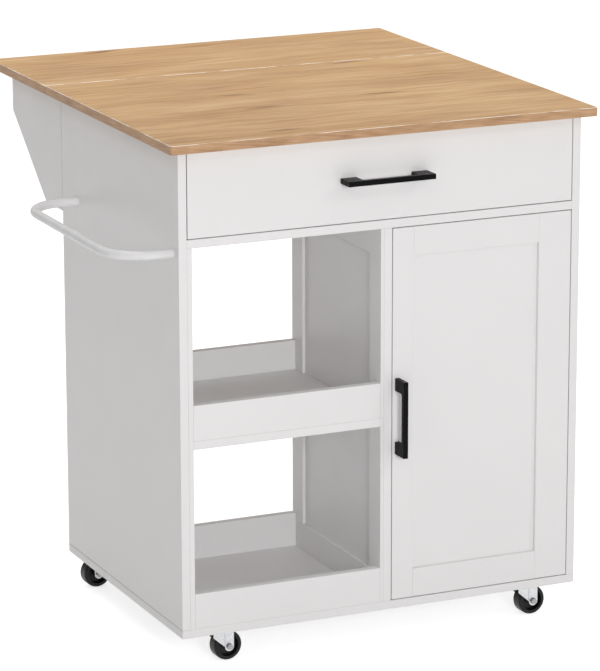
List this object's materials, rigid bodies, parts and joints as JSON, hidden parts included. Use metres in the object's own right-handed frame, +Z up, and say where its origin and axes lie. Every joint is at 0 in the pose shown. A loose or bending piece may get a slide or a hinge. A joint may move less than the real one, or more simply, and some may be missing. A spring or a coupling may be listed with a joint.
{
  "type": "kitchen island cart",
  "caption": "Kitchen island on swivel casters with an oak top and rear drop leaf on folding wings, open trays, a framed door, a drawer and a towel bar.",
  "frame": {"origin": "on the floor, in the middle of the whole outline seen from above", "axes": "+Z up, +X to the right seen from the front, +Y from the drawer and door towards the leaf"},
  "size_m": [0.88, 0.886, 0.917],
  "materials": {
    "white_board": "satin white lacquer on board",
    "oak_laminate": "matt oak decor with edge band",
    "beech": "bare",
    "zinc_steel": "bright zinc",
    "bolt_steel": "zinc",
    "wheel_black": "moulded nylon",
    "pull_black": "matt black powder coat",
    "bar_white": "satin white powder coat",
    "grey_plastic": "moulded"
  },
  "bodies": {
    "carcase": {"bottom_board": "white_board", "side_panel_left": "white_board", "side_panel_right": "white_board", "mid_board": "white_board", "divider": "white_board", "divider_frame": "white_board", "bay_lining": "white_board", "bay_shelf": "white_board", "bottom_fences": "white_board", "shelf_fences": "white_board", "cupboard_back": "white_board", "cupboard_shelf": "white_board", "shelf_pins": "zinc_steel", "drawer_back_rail": "white_board", "rear_apron": "white_board", "carcase_dowels": "beech", "top_brackets": "zinc_steel", "fixed_top": "oak_laminate", "leaf_hinge_fixed": "zinc_steel", "leaf_hinge_pins": "zinc_steel", "wing_hinges_fixed": "zinc_steel", "wing_hinge_pins": "zinc_steel", "runners_fixed": "zinc_steel", "door_hinge_arms": "zinc_steel", "door_catch": "grey_plastic", "towel_bar": "bar_white", "towel_washers": "bar_white", "caster_plates": "zinc_steel"},
    "drawer": {"drawer_front": "white_board", "drawer_sides": "white_board", "drawer_back": "white_board", "drawer_bottom": "white_board", "drawer_pull": "pull_black", "runners_moving": "zinc_steel"},
    "door": {"door_stiles": "white_board", "door_rails": "white_board", "door_panel": "white_board", "door_pull": "pull_black", "door_hinge_cups": "zinc_steel", "catch_plate": "zinc_steel"},
    "leaf": {"leaf": "oak_laminate", "leaf_hinge_moving": "zinc_steel"},
    "wing_left": {"wing_left": "white_board", "glides_left": "grey_plastic", "wing_hinges_left": "zinc_steel"},
    "wing_right": {"wing_right": "white_board", "glides_right": "grey_plastic", "wing_hinges_right": "zinc_steel"},
    "swivel_front_left": {"fork_front_left": "zinc_steel", "axle_front_left": "bolt_steel"},
    "roller_front_left": {"wheel_front_left": "wheel_black"},
    "swivel_front_right": {"fork_front_right": "zinc_steel", "axle_front_right": "bolt_steel"},
    "roller_front_right": {"wheel_front_right": "wheel_black"},
    "swivel_rear_left": {"fork_rear_left": "zinc_steel", "axle_rear_left": "bolt_steel"},
    "roller_rear_left": {"wheel_rear_left": "wheel_black"},
    "swivel_rear_right": {"fork_rear_right": "zinc_steel", "axle_rear_right": "bolt_steel"},
    "roller_rear_right": {"wheel_rear_right": "wheel_black"}
  },
  "joints": [
    {"name": "drawer_slide", "type": "slide", "parent": "carcase", "child": "drawer", "axis": [0, -1, 0], "range_m": [0, 0.24]},
    {"name": "door_hinge", "type": "hinge", "parent": "carcase", "child": "door", "pos_m": [0.4025, -0.408, 0.404], "axis": [0, 0, 1], "range_deg": [0, 105]},
    {"name": "leaf_lift", "type": "hinge", "parent": "carcase", "child": "leaf", "pos_m": [0.044, 0.15475, 0.902], "axis": [1, 0, 0], "range_deg": [0, 4]},
    {"name": "wing_left_fold", "type": "hinge", "parent": "carcase", "child": "wing_left", "pos_m": [-0.313, 0.13275, 0.796], "axis": [0, 0, -1], "range_deg": [0, 90]},
    {"name": "wing_right_fold", "type": "hinge", "parent": "carcase", "child": "wing_right", "pos_m": [0.401, 0.13275, 0.796], "axis": [0, 0, 1], "range_deg": [0, 90]},
    {"name": "swivel_turn_front_left", "type": "hinge", "parent": "carcase", "child": "swivel_front_left", "pos_m": [-0.249, -0.37, 0.055], "axis": [0, 0, 1], "continuous": true},
    {"name": "wheel_roll_front_left", "type": "hinge", "parent": "swivel_front_left", "child": "roller_front_left", "pos_m": [-0.23602, -0.36932, 0.026], "axis": [-0.0523, 0.9986, 0], "continuous": true},
    {"name": "swivel_turn_front_right", "type": "hinge", "parent": "carcase", "child": "swivel_front_right", "pos_m": [0.337, -0.37, 0.055], "axis": [0, 0, 1], "continuous": true},
    {"name": "wheel_roll_front_right", "type": "hinge", "parent": "swivel_front_right", "child": "roller_front_right", "pos_m": [0.34998, -0.36932, 0.026], "axis": [-0.0523, 0.9986, 0], "continuous": true},
    {"name": "swivel_turn_rear_left", "type": "hinge", "parent": "carcase", "child": "swivel_rear_left", "pos_m": [-0.282, 0.094, 0.055], "axis": [0, 0, 1], "continuous": true},
    {"name": "wheel_roll_rear_left", "type": "hinge", "parent": "swivel_rear_left", "child": "roller_rear_left", "pos_m": [-0.29498, 0.09332, 0.026], "axis": [0.0523, -0.9986, 0], "continuous": true},
    {"name": "swivel_turn_rear_right", "type": "hinge", "parent": "carcase", "child": "swivel_rear_right", "pos_m": [0.37, 0.094, 0.055], "axis": [0, 0, 1], "continuous": true},
    {"name": "wheel_roll_rear_right", "type": "hinge", "parent": "swivel_rear_right", "child": "roller_rear_right", "pos_m": [0.38298, 0.09468, 0.026], "axis": [-0.0523, 0.9986, 0], "continuous": true}
  ]
}
